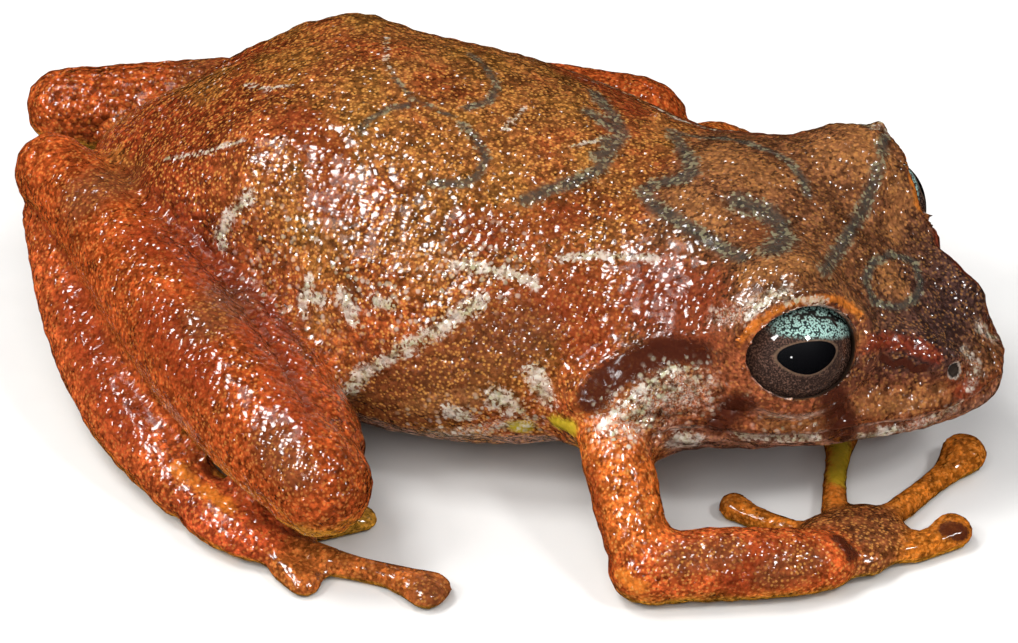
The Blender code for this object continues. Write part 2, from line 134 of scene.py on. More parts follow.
# The skin is evened out on the neck, and less and less this near to an eye's centre. Most of the
# swelling that joined the solids is taken back.
NECK_X = 5.0
NEAR_EYE = (2.9, 4.4)
TAKEN_BACK = 0.92
WART_WIDE = 0.62

# Marks on the skin: channel, half width in mm, whether the other side has it too, and the
# pixels of the photograph that its line runs through
MARKS = {
    "sacral_line": ("pale", 0.11, False, ((386, 38), (386, 58), (392, 74))),
    "sacral_join": ("olive", 0.1, False, ((394, 78), (414, 100), (437, 109), (454, 118))),
    "sacral_loop": (
        "olive", 0.17, False,
        ((462, 124), (476, 138), (486, 158), (476, 178), (460, 184), (431, 183)),
    ),
    "sacral_hook": ("olive", 0.14, False, ((410, 105), (388, 109), (368, 120), (360, 133))),
    "far_loop": ("olive", 0.16, False, ((470, 54), (486, 68), (497, 86), (490, 101), (466, 108))),
    "back_dash": ("pale", 0.12, False, ((506, 129), (523, 109))),
    "nape_dash": ("pale", 0.1, False, ((572, 147), (600, 139))),
    "scapular_bar": (
        "olive", 0.27, True,
        ((526, 200), (548, 190), (572, 183), (598, 171), (610, 152), (606, 140)),
    ),
    "scapular_spot": ("olive", 0.28, False, ((588, 112), (604, 122), (620, 132))),
    "rump_line": ("pale", 0.1, False, ((246, 84), (265, 90), (290, 86))),
    "hip_line": ("pale", 0.12, True, ((167, 158), (207, 152), (242, 141))),
    "hip_bar": ("pale", 0.24, True, ((250, 195), (230, 215), (219, 238), (224, 247))),
    "flank_bar": (
        "pale", 0.3, True,
        ((351, 390), (362, 374), (397, 353), (437, 330), (466, 310), (480, 302)),
    ),
    "side_bar": ("pale", 0.2, True, ((454, 264), (489, 270), (515, 275), (537, 284))),
    "shoulder_bar": ("pale", 0.15, True, ((560, 258), (594, 255), (623, 256), (655, 258))),
    "flank_pale_c": ("pale", 0.3, True, ((345, 296), (352, 318))),
    "flank_pale_d": ("pale", 0.24, True, ((306, 296), (320, 300))),
    "back_rust_a": ("red", 0.9, False, ((300, 120), (330, 150), (330, 200))),
    "back_rust_b": ("red", 0.8, True, ((470, 225), (520, 235), (560, 215))),
    "flank_pale_a": ("pale", 0.2, True, ((308, 280), (303, 300), (305, 316))),
    "flank_pale_b": ("pale", 0.22, True, ((376, 300), (392, 306))),
    "armpit_pale": ("pale", 0.42, True, ((536, 372), (545, 398))),
    "belly_white_a": ("pale", 0.5, True, ((498, 398), (515, 408))),
    "belly_white_b": ("pale", 0.32, True, ((450, 412), (466, 416))),
    "belly_yellow_a": ("yellow", 0.32, True, ((515, 426), (526, 427))),
    "belly_yellow_b": ("yellow", 0.32, True, ((556, 424), (570, 427))),
    "flank_dark_a": ("brown", 1.1, True, ((375, 402), (440, 372), (500, 345), (530, 335))),
    "flank_dark_b": ("brown", 0.7, True, ((392, 420), (430, 412), (470, 398))),
    "flank_rust": ("tan", 0.4, True, ((410, 408), (440, 402), (475, 396))),
    "shoulder_red": ("red", 1.5, True, ((585, 292), (640, 292), (690, 305))),
    "flank_red": ("red", 1.3, True, ((520, 310), (560, 300), (590, 330))),
    "ear_band": (
        "dark", 0.52, True,
        ((700, 352), (682, 350), (665, 350), (645, 357), (625, 368), (604, 384), (592, 400)),
    ),
    "cheek_pale": (
        "pale", 0.12, True,
        ((690, 368), (672, 368), (650, 382), (628, 400), (608, 418), (598, 428)),
    ),
    "cheek_beads": ("beads", 0.9, True, ((692, 390), (664, 396), (642, 410), (620, 424))),
    "cheek_dots": ("dots", 0.6, True, ((745, 408), (790, 420), (812, 420))),
    "brow_beads": ("beads", 0.36, True, ((716, 318), (742, 312), (765, 298), (784, 290))),
    "arm_dots": ("dots", 0.34, True, ((606, 438), (626, 446))),
    "lip_beads": ("beads", 0.26, True, ((684, 438), (700, 441))),
    "flank_dots_a": ("dots", 1.3, True, ((270, 250), (310, 280), (350, 300))),
    "flank_dots_b": ("dots", 1.2, True, ((400, 300), (450, 280), (500, 262))),
    "belly_dots": ("dots", 0.7, True, ((420, 420), (450, 418), (480, 404))),
    "belly_beads": ("beads", 0.45, True, ((440, 434), (480, 430), (530, 422))),
    "head_v_top": ("olive", 0.28, False, ((643, 192), (655, 183), (686, 178))),
    "head_v": (
        "olive", 0.28, False,
        ((643, 192), (649, 201), (669, 215), (695, 232), (721, 247), (744, 258)),
    ),
    "nape_bar": ("olive", 0.28, False, ((675, 136), (683, 149), (690, 160), (693, 173))),
    "crown_line": (
        "olive", 0.17, False,
        ((669, 130), (721, 138), (755, 146), (787, 160), (804, 182), (808, 195)),
    ),
    "between_eyes": (
        "olive", 0.44, False,
        ((738, 202), (765, 211), (780, 222), (784, 238), (772, 250)),
    ),
    "far_lid_line": (
        "olive", 0.24, False,
        ((884, 138), (876, 175), (866, 205), (850, 232), (836, 255), (824, 272)),
    ),
    "snout_patch": ("tan", 0.55, False, ((888, 274), (898, 288))),
    "snout_ring": (
        "olive", 0.16, False,
        ((893, 254), (914, 262), (921, 281), (914, 301), (893, 308),
         (873, 301), (865, 281), (873, 262), (893, 254)),
    ),
    "lid_pale": ("pale", 0.12, True, ((748, 318), (764, 304), (784, 292))),
    "canthus_red": ("red", 0.3, True, ((862, 344), (890, 341), (915, 346), (935, 356))),
    "canthus_dark": (
        "dark", 0.13, True,
        ((882, 357), (893, 366), (904, 360), (914, 370), (926, 367)),
    ),
    "snout_red": ("red", 0.3, True, ((948, 386), (962, 393), (974, 384))),
    "lid_white": ("pale", 0.17, True, ((786, 303), (804, 299), (824, 301))),
    "finger_yellow": ("yellow", 0.4, False, ((841, 446), (839, 478))),
    "lip_bar_a": ("dark", 0.42, True, ((744, 402), (726, 414), (716, 428))),
    "lip_bar_b": ("dark", 0.52, True, ((834, 400), (840, 418), (842, 434))),
    "lip_cream_a": ("pale", 0.22, True, ((738, 434), (780, 438), (816, 438))),
    "lip_cream_b": ("beads", 0.26, True, ((862, 438), (905, 429), (935, 418), (958, 404))),
    "lip_cream_c": ("pale", 0.24, True, ((862, 436), (895, 430))),
    "snout_beads": ("beads", 0.26, True, ((966, 352), (976, 370), (970, 388))),
    "brow_orange": ("tan", 0.3, True, ((845, 330), (858, 340))),
    "crown_tan": ("tan", 0.9, False, ((715, 158), (745, 168), (765, 178))),
    # Painted shade between the eyes
    "crown_painted_shade": ("brown", 0.6, False, ((752, 226), (768, 240))),
    "far_lid_tan": ("tan", 0.9, False, ((835, 152), (858, 150), (874, 158))),
    "far_lid_front": ("tan", 0.45, False, ((893, 178), (897, 210), (893, 232))),
    "brow_tan": ("tan", 0.5, True, ((752, 276), (790, 264), (822, 268))),
    "nape_tan": ("tan", 0.6, False, ((685, 198), (712, 218))),
    "lip_tan": ("tan", 0.4, True, ((770, 422), (800, 427), (815, 424))),
    "snout_side": ("tan", 0.5, True, ((866, 404), (900, 402), (940, 394))),
    "eye_front": ("tan", 0.3, True, ((848, 296), (858, 312))),
    "far_lid_rim": ("pale", 0.07, False, ((898, 140), (911, 158), (918, 185), (919, 215))),
    "jaw_cream": ("pale", 0.4, True, ((676, 441), (690, 444))),
    "shank_red_a": ("red", 0.8, True, ((148, 236), (175, 252), (205, 277))),
    "shank_red_b": ("red", 0.9, True, ((155, 315), (180, 350), (200, 375))),
    "shank_red_c": ("red", 0.8, True, ((282, 365), (300, 420))),
    # The crease channel is painted shade along the folds of the legs
    "shank_crease": ("crease", 0.14, True, ((190, 232), (235, 292), (280, 352), (310, 410))),
    "crease_rough": ("rough", 0.8, True, ((186, 226), (232, 282), (290, 350))),
    "far_leg_rough": ("rough", 1.6, False, ((100, 85), (150, 84), (200, 78))),
    # Painted shade along the fold between thigh and flank
    "flank_crease": (
        "crease", 0.16, True,
        ((86, 135), (143, 183), (196, 238), (250, 290), (300, 345)),
    ),
    # Painted shade along the heel's and tarsus's folds
    "heel_crease": ("crease", 0.12, True, ((36, 213), (66, 256), (81, 295))),
    "tarsus_crease": (
        "crease", 0.16, True,
        ((100, 330), (150, 418), (206, 469), (257, 523), (300, 536)),
    ),
    "crease_red_a": ("red", 0.5, True, ((150, 205), (200, 255), (250, 330), (290, 395))),
    "thigh_red": ("red", 0.6, True, ((180, 222), (230, 275), (280, 330))),
    "tarsus_red": ("red", 0.7, True, ((70, 300), (95, 365), (130, 430))),
    "shank_brown_a": ("brown", 0.9, True, ((205, 320), (235, 300))),
    "shank_brown_b": ("brown", 0.8, True, ((270, 440), (295, 470))),
    "shank_brown_c": ("brown", 1.0, True, ((85, 195), (115, 180))),
    "wrist_dark": ("dark", 0.34, True, ((840, 540), (850, 552))),
    "forearm_brown_a": ("brown", 0.6, True, ((680, 560), (730, 552))),
    "forearm_brown_b": ("brown", 0.6, True, ((770, 575), (810, 560))),
    "forearm_red": ("red", 0.6, True, ((735, 580), (770, 552))),
    "arm_red": ("red", 0.35, True, ((590, 470), (600, 520), (610, 560))),
    "toe_brown": ("brown", 0.55, True, ((424, 588), (440, 594))),
    "disc_brown": ("dark", 0.34, True, ((948, 530), (960, 532))),
    "elbow_orange": ("orange", 0.3, True, ((622, 575), (640, 588))),
    "finger_orange": ("orange", 0.34, True, ((834, 452), (838, 500))),
    "tarsus_orange": ("orange", 0.3, True, ((178, 468), (228, 508))),
}
CHANNELS = tuple(dict.fromkeys(row[0] for row in MARKS.values()))

# Raised folds and warts, and grooves below 0: half width, height, both sides, pixels
RAISED = {
    "ear_fold": (
        0.5, 0.26, True,
        ((712, 338), (686, 336), (657, 337), (617, 354), (588, 376), (577, 400)),
    ),
    "flank_fold": (0.6, 0.12, True, ((351, 385), (397, 350), (437, 327), (483, 300))),
    "lid_wart": (0.26, 0.34, True, ((794, 276),)),
    "far_lid_wart": (0.26, 0.3, False, ((878, 131),)),
    "nape_wart": (0.3, 0.26, False, ((656, 118),)),
    "lid_warts": (0.3, 0.12, True, ((770, 300), (783, 294), (800, 288))),
    "cheek_warts_a": (0.34, 0.14, True, ((652, 396),)),
    "cheek_warts_b": (0.34, 0.14, True, ((676, 410),)),
    "cheek_warts_c": (0.36, 0.14, True, ((630, 412),)),
    "rear_lip": (0.4, 0.1, True, ((700, 440), (685, 443))),
    "snout_rim": (0.3, 0.06, True, ((865, 322), (904, 330), (935, 342))),
    "hip_warts": (0.3, 0.12, True, ((207, 152), (220, 147))),
    "shank_fold": (0.2, -0.16, True, ((190, 232), (235, 292), (280, 352), (310, 410))),
    "heel_fold": (0.2, -0.14, True, ((36, 213), (66, 256), (81, 295))),
    "shank_wart_a": (0.4, 0.12, True, ((286, 405), (310, 440))),
}

# Ground colours of the body's regions, and the solids whose region has another name. The back's
# colour is a property.
REGION_OF = {"torso": "back", "upper_arm": "arm"}
GROUND = {
    "head": (0.27, 0.07, 0.026),
    "arm": (0.58, 0.125, 0.02),
    "forearm": (0.52, 0.088, 0.018),
    "hand": (0.21, 0.06, 0.018),
    "finger": (0.50, 0.14, 0.014),
    "thigh": (0.34, 0.052, 0.011),
    "shank": (0.37, 0.062, 0.012),
    "tarsus": (0.45, 0.078, 0.018),
    "foot": (0.5, 0.075, 0.02),
    "toe": (0.40, 0.10, 0.02),
}
UNDERSIDE = (0.50, 0.34, 0.27)
FLANK = (0.36, 0.085, 0.019)
RUMP = (0.25, 0.035, 0.009)
HEAD_TOP = (0.17, 0.062, 0.025)
SNOUT = (0.065, 0.03, 0.024)
JAW = (0.30, 0.13, 0.08)
HIDDEN_YELLOW = (0.55, 0.30, 0.03)
INNER_FOOT = 12.2

# Painted shade in the eye sockets, along the mouth and in the nostrils, and small dark places of
# the eyes
HOLE_SHADE_BROWN = (0.03, 0.014, 0.006)
VEIN_BLACK = (0.01, 0.02, 0.02)
WAVE_BLACK = (0.006, 0.006, 0.006)
RIM_BLACK = (0.008, 0.006, 0.005)
PUPIL_RING = (0.2, 0.12, 0.07)
PUPIL_BLACK = (0.001, 0.001, 0.002)


def steps(value, low, high):
    """A smooth 0 to 1 rise of the value between low and high."""
    t = np.clip((value - low) / (high - low), 0, 1)
    return t * t * (3 - 2 * t)


def hump(distance, width):
    """1 at no distance, and a soft fall to 0 past the width."""
    return np.exp(-((distance / width) ** 2))


def ridges(distance, *forms):
    """The summed height of ridges and grooves this far from the line that they follow."""
    return sum(height * hump(distance - place, width) for place, width, height in forms)


def eye_frame(side, axis):
    """The axis out of the eye, the line across it and the line up it."""
    turn, lift = axis
    out = np.array(
        (math.cos(lift) * math.cos(turn), side * math.cos(lift) * math.sin(turn), math.sin(lift))
    )
    across = np.cross((0.0, 0.0, 1.0), out)
    across /= np.linalg.norm(across)
    return out, across, np.cross(out, across)


def eye_centre(side):
    return EYE * (1, side, 1)


def nostril(side):
    return NOSTRIL * (1, side, 1)


def eye_distance(points):
    """How far each point is from the nearer eye's centre."""
    return np.minimum(*(np.linalg.norm(points - eye_centre(side), axis=1) for _, side in SIDES))


def lip_level(x):
    """How high the line between the lips is, this far along the head."""
    return np.interp(x, *np.array(LIP_LEVELS).T)


def select_only(*pieces):
    bpy.ops.object.select_all(action="DESELECT")
    for piece in pieces:
        piece.select_set(True)
    bpy.context.view_layer.objects.active = pieces[0]


class Surface:
    """A mesh's points and normals in the frog's frame, to be moved as a sculptor would."""

    def __init__(self, piece):
        self.mesh = piece.data
        count = len(self.mesh.vertices)
        flat = np.empty(count * 3, np.float32)
        self.mesh.vertices.foreach_get("co", flat)
        self.points = flat.reshape(-1, 3).astype(float) / MM - ORIGIN
        ends = np.empty(len(self.mesh.edges) * 2, np.int32)
        self.mesh.edges.foreach_get("vertices", ends)
        self.ends = ends.reshape(-1, 2)
        self.links = np.maximum(np.bincount(ends, minlength=count), 1)[:, None]
        self.put_back()

    def put_back(self):
        """Writes the moved points to the mesh and reads its normals again."""
        placed = ((self.points + ORIGIN) * MM).astype(np.float32)
        self.mesh.vertices.foreach_set("co", placed.ravel())
        self.mesh.update()
        flat = np.empty(len(self.points) * 3, np.float32)
        self.mesh.vertex_normals.foreach_get("vector", flat)
        self.normals = flat.reshape(-1, 3).astype(float)

    def mean_of_neighbours(self, values):
        a, b = self.ends.T
        total = np.empty_like(values)
        for k in range(values.shape[1]):
            total[:, k] = np.bincount(a, values[b, k], len(values))
            total[:, k] += np.bincount(b, values[a, k], len(values))
        return total / self.links

    def relax(self, weight, rounds):
        """Evens the surface out without shrinking it: each round smooths and then swells."""
        for _ in range(rounds):
            for share in (0.5, -0.52):
                pull = self.mean_of_neighbours(self.points) - self.points
                self.points += share * weight[:, None] * pull
        self.put_back()

    def soften(self, values, rounds):
        for _ in range(rounds):
            values = 0.5 * values + 0.5 * self.mean_of_neighbours(values)
        return values

    def push(self, amount):
        self.points += self.normals * np.reshape(amount, (-1, 1))

    def keep(self, name, values):
        """Stores a value or a colour for each point, which the skin's finish reads."""
        colours = np.ndim(values) == 2
        kind = "FLOAT_COLOR" if colours else "FLOAT"
        layer = self.mesh.attributes.new(name, kind, "POINT")
        if colours:
            values = np.column_stack([values, np.ones(len(values))])
        layer.data.foreach_set("color" if colours else "value", values.astype(np.float32).ravel())


class Sight:
    """Finds where the camera sees a pixel of the photograph on the skin."""

    def __init__(self, surface):
        corners = [tuple(p.vertices) for p in surface.mesh.polygons]
        self.tree = BVHTree.FromPolygons([Vector(p) for p in surface.points], corners)
        self.eye = CAMERA_TARGET + BACK * CAMERA_FAR

    def hit(self, pixel):
        scale = PIXELS_PER_MM * CAMERA_FAR
        across = (pixel[0] - PHOTO_WIDE / 2) / scale
        down = (pixel[1] - PHOTO_HIGH / 2) / scale
        way = Vector(-BACK + RIGHT * across - UP * down).normalized()
        place = self.tree.ray_cast(Vector(self.eye), way)[0]
        return None if place is None else np.array(place)

    def line(self, name, pixels):
        """The places on the skin of a line's pixels. A pixel that misses the skin is left out."""
        found = [place for place in map(self.hit, pixels) if place is not None]
        if not found:
            raise RuntimeError(f"{name} isn't on the skin")
        return np.array(found)


def line_distance(points, line):
    """How far each point is from a line of one or more places."""
    nearest = np.linalg.norm(points - line[0], axis=1)
    for start, end in zip(line, line[1:]):
        along = end - start
        t = np.clip((points - start) @ along / max(along @ along, 1e-9), 0, 1)
        nearest = np.minimum(nearest, np.linalg.norm(points - start - t[:, None] * along, axis=1))
    return nearest


def both_sides(points, line, mirrored):
    """How far each point is from the line, or from its mirror image if that is nearer."""
    nearest = line_distance(points, line)
    if mirrored:
        nearest = np.minimum(nearest, line_distance(points, line * (1, -1, 1)))
    return nearest


def swollen_copy(node, swell):
    """A copy of a solid with its loose triangles merged, and swollen so that neighbours meet."""
    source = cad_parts[node]
    mesh = source.data.copy()
    form = bmesh.new()
    form.from_mesh(mesh)
    bmesh.ops.remove_doubles(form, verts=form.verts, dist=0.001 * MM)
    form.normal_update()
    for vert in form.verts:
        vert.co += vert.normal * swell * MM
    form.to_mesh(mesh)
    form.free()
    mesh.materials.clear()
    copy = bpy.data.objects.new("skin_" + node, mesh)
    bpy.context.scene.collection.objects.link(copy)
    return copy


def drop_small_pieces(piece):
    """Keeps only the largest connected sheet, so that no sealed pocket stays inside."""
    form = bmesh.new()
    form.from_mesh(piece.data)
    left, sheets = set(form.verts), []
    while left:
        waiting, sheet = [left.pop()], []
        while waiting:
            vert = waiting.pop()
            sheet.append(vert)
            for edge in vert.link_edges:
                other = edge.other_vert(vert)
                if other in left:
                    left.remove(other)
                    waiting.append(other)
        sheets.append(sheet)
    sheets.sort(key=len)
    for sheet in sheets[:-1]:
        bmesh.ops.delete(form, geom=sheet, context="VERTS")
    form.to_mesh(piece.data)
    form.free()


def region_weights(surface):
    """How much each point belongs to each region, softened across their borders."""
    names = sorted(["back", *GROUND])
    places, owner = [], []
    for node in FLESH:
        kind = node.rsplit("_", 1)[0].rstrip("_0123456789")
        own = names.index(REGION_OF.get(kind, kind))
        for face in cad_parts[node].data.polygons:
            places.append(np.array(face.center) / MM - ORIGIN)
            owner.append(own)
    tree = kdtree.KDTree(len(places))
    for k, place in enumerate(places):
        tree.insert(place, k)
    tree.balance()
    weights = np.zeros((len(surface.points), len(names)))
    for k, point in enumerate(surface.points):
        weights[k, owner[tree.find(point)[1]]] = 1
    weights = surface.soften(weights, 6)
    return {name: weights[:, k] for k, name in enumerate(names)}


def round_the_lids(points, side):
    """How far out each point lies round an eye's opening, with 1 at its edge, and how high."""
    away = points - eye_centre(side)
    out, across, up = eye_frame(side, LID_AXIS)
    u, v = away @ across / LID_OPEN[0], away @ up / LID_OPEN[1]
    ahead = (away @ out > 0) & (np.linalg.norm(away, axis=1) < LID_REACH)
    return np.hypot(u, v), v, ahead


def meet_eyes(surface):
    """Draws the lids in until they touch the eyeballs, and raises a soft rim round them."""
    for _, side in SIDES:
        away = surface.points - eye_centre(side)
        far = np.linalg.norm(away, axis=1)
        pull = (SOCKET_GAP - LID_CLEAR) * (1 - steps(far, EYE_RADIUS + 0.45, EYE_RADIUS + 1.3))
        surface.points -= away / far[:, None] * pull[:, None]
        ring, _, ahead = round_the_lids(surface.points, side)
        surface.push(np.where(ahead, ridges(ring, LID_RIM, LID_FOLD), 0))
    surface.put_back()


def carve_mouth_and_nose(surface):
    """Deepens the lips' line and the nostrils, and lifts the lip and the nostril's rim."""
    x, _, z = surface.points.T
    flat = steps(0.85 - np.abs(surface.normals[:, 2]), 0, 0.3) * steps(x, 6.2, 7.6)
    surface.push(flat * ridges(z - lip_level(x), LIP_RIM, LIP_LINE))
    for _, side in SIDES:
        off = np.linalg.norm(surface.points - nostril(side), axis=1)
        surface.push(ridges(off, NOSTRIL_RIM, NOSTRIL_PIT))
    surface.put_back()


def ground_colours(surface, weights):
    """The smooth ground colour of each point, before marks and mottling."""
    look = bpy.context.scene.rain_frog.skin
    x, y, z = surface.points.T
    table = dict(GROUND, back=tuple(look.back_colour))
    colour = sum(weights[name][:, None] * np.array(table[name]) for name in weights)
    trunk = weights["back"]

    def blend(share, other):
        nonlocal colour
        share = np.clip(share, 0, 1)[:, None]
        colour = colour * (1 - share) + np.array(other) * share

    blend(trunk * (1 - steps(z, 6.5, 10.0)), FLANK)
    blend(trunk * (1 - steps(x, -14.0, -6.0)) * 0.9, RUMP)
    head = weights["head"]
    blend(head * steps(surface.normals[:, 2], 0.3, 0.75), HEAD_TOP)
    blend(head * steps(x, 11.5, 15.5) * steps(z, 5.6, 7.0), SNOUT)
    body = trunk + head
    below = steps(-surface.normals[:, 2], 0.25, 0.8)
    blend(body * below, UNDERSIDE)
    blend(head * steps(lip_level(x) - z, 0.0, 0.3) * steps(x, 6.0, 8.0) * 0.8, JAW)
    limbs = 1 - body
    blend(limbs * steps(-surface.normals[:, 2], 0.1, 0.7) * 0.8, HIDDEN_YELLOW)
    inner = (weights["toe"] + weights["foot"]) * (np.abs(y) < INNER_FOOT)
    blend(inner * 0.7, HIDDEN_YELLOW)
    return colour


class Mask:
    """A socket of a material's node tree, so that masks can be written as sums."""

    def __init__(self, finish, socket):
        self.finish, self.socket = finish, socket

    def maths(self, operation, *values):
        return self.finish.node("ShaderNodeMath", {"operation": operation}, dict(enumerate(values)))

    def __add__(self, other):
        return self.maths("ADD", self, other)

    def __radd__(self, other):
        return self.maths("ADD", other, self)

    def __sub__(self, other):
        return self.maths("SUBTRACT", self, other)

    def __rsub__(self, other):
        return self.maths("SUBTRACT", other, self)

    def __mul__(self, other):
        return self.maths("MULTIPLY", self, other)

    def __rmul__(self, other):
        return self.maths("MULTIPLY", other, self)

    def rise(self, low, high):
        """0 below low, 1 above high and smooth between; with low above high it falls."""
        ends = {"Value": self, "From Min": low, "From Max": high}
        return self.finish.node("ShaderNodeMapRange", {"interpolation_type": "SMOOTHSTEP"}, ends)


def nostril_distance(made, place):
    """Millimetres to the nearer nostril."""
    pair = [
        made.node(
            "ShaderNodeVectorMath",
            {"operation": "DISTANCE"},
            {0: place, 1: tuple(nostril(side) + ORIGIN)},
            output="Value",
        )
        for _, side in SIDES
    ]
    return pair[0].maths("MINIMUM", *pair)


class Finish:
    """A material with one Principled shader, and the methods that add nodes to it."""

    def __init__(self, name):
        self.material = bpy.data.materials.new(name)
        self.material.use_nodes = True
        self.tree = self.material.node_tree
        self.shader = self.tree.nodes["Principled BSDF"]

    def put(self, socket, value):
        """Links a mask to the socket, or sets a plain value on it."""
        if isinstance(value, Mask):
            self.tree.links.new(value.socket, socket)
        else:
            socket.default_value = value

    def node(self, kind, settings=(), values=(), output=0):
        made = self.tree.nodes.new(kind)
        for name, value in dict(settings).items():
            setattr(made, name, value)
        for place, value in dict(values).items():
            self.put(made.inputs[place], value)
        return Mask(self, made.outputs[output])

    def mix(self, share, first, second):
        first, second = (c if isinstance(c, Mask) else (*c, 1.0) for c in (first, second))
        values = {0: share, 6: first, 7: second}
        return self.node("ShaderNodeMix", {"data_type": "RGBA"}, values, output=2)

    def scaled(self, colour, share):
        """The colour or place times a share that may vary."""
        values = {0: colour, "Scale": share}
        return self.node("ShaderNodeVectorMath", {"operation": "SCALE"}, values)

    def attribute(self, name, output="Fac"):
        return self.node("ShaderNodeAttribute", {"attribute_name": name}, output=output)

    def millimetres(self):
        place = self.node("ShaderNodeTexCoord", output="Object")
        return self.scaled(place, 1 / MM)

    def noise(self, place, scale, detail=3.0, roughness=0.55):
        values = {"Vector": place, "Scale": scale, "Detail": detail, "Roughness": roughness}
        return self.node("ShaderNodeTexNoise", values=values)

    def cells(self, place, scale, output="Distance"):
        values = {"Vector": place, "Scale": scale}
        return self.node("ShaderNodeTexVoronoi", values=values, output=output)

    def set(self, **values):
        for name, value in values.items():
            self.put(self.shader.inputs[name.replace("_", " ")], value)


def skin_finish(look):
    """Wet granular skin: ground colour, marks, fine mottling and beads that catch the light."""
    made = Finish("frog_skin")
    place = made.millimetres()
    patch = made.noise(place, 0.5, 3)
    mottle = made.noise(place, 1.7, 4, 0.7)
    fleck = made.noise(place, 8.0, 3, 0.7)
    bead = made.cells(place, 1 / look.granule_size)
    lot = made.cells(place, 1 / look.granule_size, output="Color")
    dot = made.cells(place, 1 / look.dot_size)
    seed = made.cells(place, 1 / look.dot_size, output="Color")
    speck = made.cells(place, 1 / look.speckle_size)
    own = made.cells(place, 1 / look.speckle_size, output="Color")
    grain = made.attribute("grain") + made.attribute("rough").rise(0.0, 0.5) * 1.5
    drop = made.cells(place, 1 / look.drop_size)
    nose = nostril_distance(made, place) + (mottle - 0.5) * 0.3 + (fleck - 0.5) * 0.3
    ragged = (mottle - 0.5) * 0.9 + (own - 0.5) * 0.35

    def mark(name, low=0.2, high=0.75, noise=1.0):
        reach = made.attribute(name)
        return (reach + ragged * noise).rise(low, high) * reach.rise(0.02, 0.3)

    def granules(name, most):
        """Single granules of the mark's colour, more of them where the mark is stronger."""
        reach = made.attribute(name) * most
        chosen = (reach + (seed - 0.5) * 1.4).rise(0.35, 0.6) * dot.rise(0.7, 0.25)
        return chosen * reach.rise(0.02, 0.15)

    tint = made.noise(place, 0.32, 3, 0.6)
    colour = made.attribute("ground", output="Color")
    trunk = made.attribute("trunk")
    colour = made.mix(tint.rise(0.5, 0.64) * trunk, colour, look.olive_gold_colour)
    colour = made.mix(tint.rise(0.5, 0.36) * trunk, colour, look.rust_colour)
    shade = (0.3 + patch * 1.1) * (0.4 + own * 1.2) * (0.65 + mottle.rise(0.36, 0.64) * 0.7)
    colour = made.scaled(colour, shade)
    red = mark("red")
    colour = made.mix(red * (0.35 + own * 0.45), colour, look.red_colour)
    # Brown bands, and painted shade between the eyes
    colour = made.mix(mark("brown") * 0.75, colour, look.brown_colour)
    colour = made.mix(mark("tan") * (0.15 + own * 0.8), colour, look.tan_colour)
    colour = made.mix(mark("orange") * 0.85, colour, look.orange_colour)
    colour = made.mix(fleck.rise(0.47, 0.36) * 0.5, colour, made.scaled(colour, 0.25))
    # Painted shade between granules: each small cell is darker at its edge than at its middle
    colour = made.scaled(colour, 0.78 + dot.rise(0.75, 0.3) * 0.4)
    stipple = speck.rise(0.6, 0.25) * own.rise(0.46, 0.6)
    golden = stipple * made.attribute("golden") * (1 - red * 0.6)
    colour = made.mix(golden, colour, look.gold_colour)
    dark = mark("dark", 0.3, 0.6)
    colour = made.mix(dark * (0.82 + fleck * 0.25), colour, look.dark_colour)
    # Painted shade along the folds of the legs
    colour = made.mix(mark("crease", 0.2, 0.9) * 0.7, colour, look.crease_shade_colour)
    olive = mark("olive", 0.2, 0.8, 1.2) * (0.95 - fleck * 0.35)
    colour = made.mix(olive, colour, look.olive_colour)
    edge = mark("olive", 0.2, 0.65, 1.3) * own.rise(0.62, 0.8)
    colour = made.mix(edge * 0.35, colour, look.lichen_colour)
    colour = made.mix(mark("yellow") * 0.75, colour, look.yellow_colour)
    pale = mark("pale", 0.35, 0.85, 1.9) * (0.35 + own * 0.6) * fleck.rise(0.3, 0.45)
    grit = made.noise(place, 13.0, 2, 0.8)
    pale = pale + mark("beads", 0.3, 1.0, 1.6) * grit.rise(0.42, 0.62) * 0.55
    pale = pale + granules("beads", 0.4) * 0.55 + granules("dots", 0.28) * 0.5 * (1 - dark)
    cream = made.mix(mottle.rise(0.35, 0.6), look.lichen_colour, look.pale_colour)
    colour = made.mix(pale, colour, cream)
    colour = made.mix(nose.rise(0.37, 0.3) * (0.2 + own * 0.5), colour, look.pale_colour)
    # Painted shade: dark where the skin tucks against the eyeballs, along the mouth's line and in
    # the nostrils' openings
    hole_shade = made.attribute("hole_shade").rise(0.3, 0.8) + nose.rise(0.3, 0.22)
    colour = made.mix(hole_shade, colour, HOLE_SHADE_BROWN)
    domed = 0.48 + lot.rise(0.48, 0.62) * 0.8
    height = (1 - bead * bead * 2.4) * domed * grain * (1 - dark * 0.85)
    height = height + fleck * 0.08 - nose.rise(0.3, 0.15) * 2
    height = height - drop * drop * made.attribute("drops") * (1 - nose.rise(0.6, 0.4)) * 9
    bump = {"Height": height, "Distance": look.granule_height * MM, "Strength": 1.0}
    made.set(
        Base_Color=colour,
        Roughness=0.06 + fleck * 0.08 + hole_shade * 0.6,
        Normal=made.node("ShaderNodeBump", values=bump),
        Specular_IOR_Level=1.0,
        Coat_Weight=look.wetness,
        Coat_Roughness=0.1,
        Subsurface_Weight=0.1,
        Subsurface_Radius=(1.0, 0.35, 0.15),
        Subsurface_Scale=0.0004,
        IOR=1.45,
    )
    return made.material


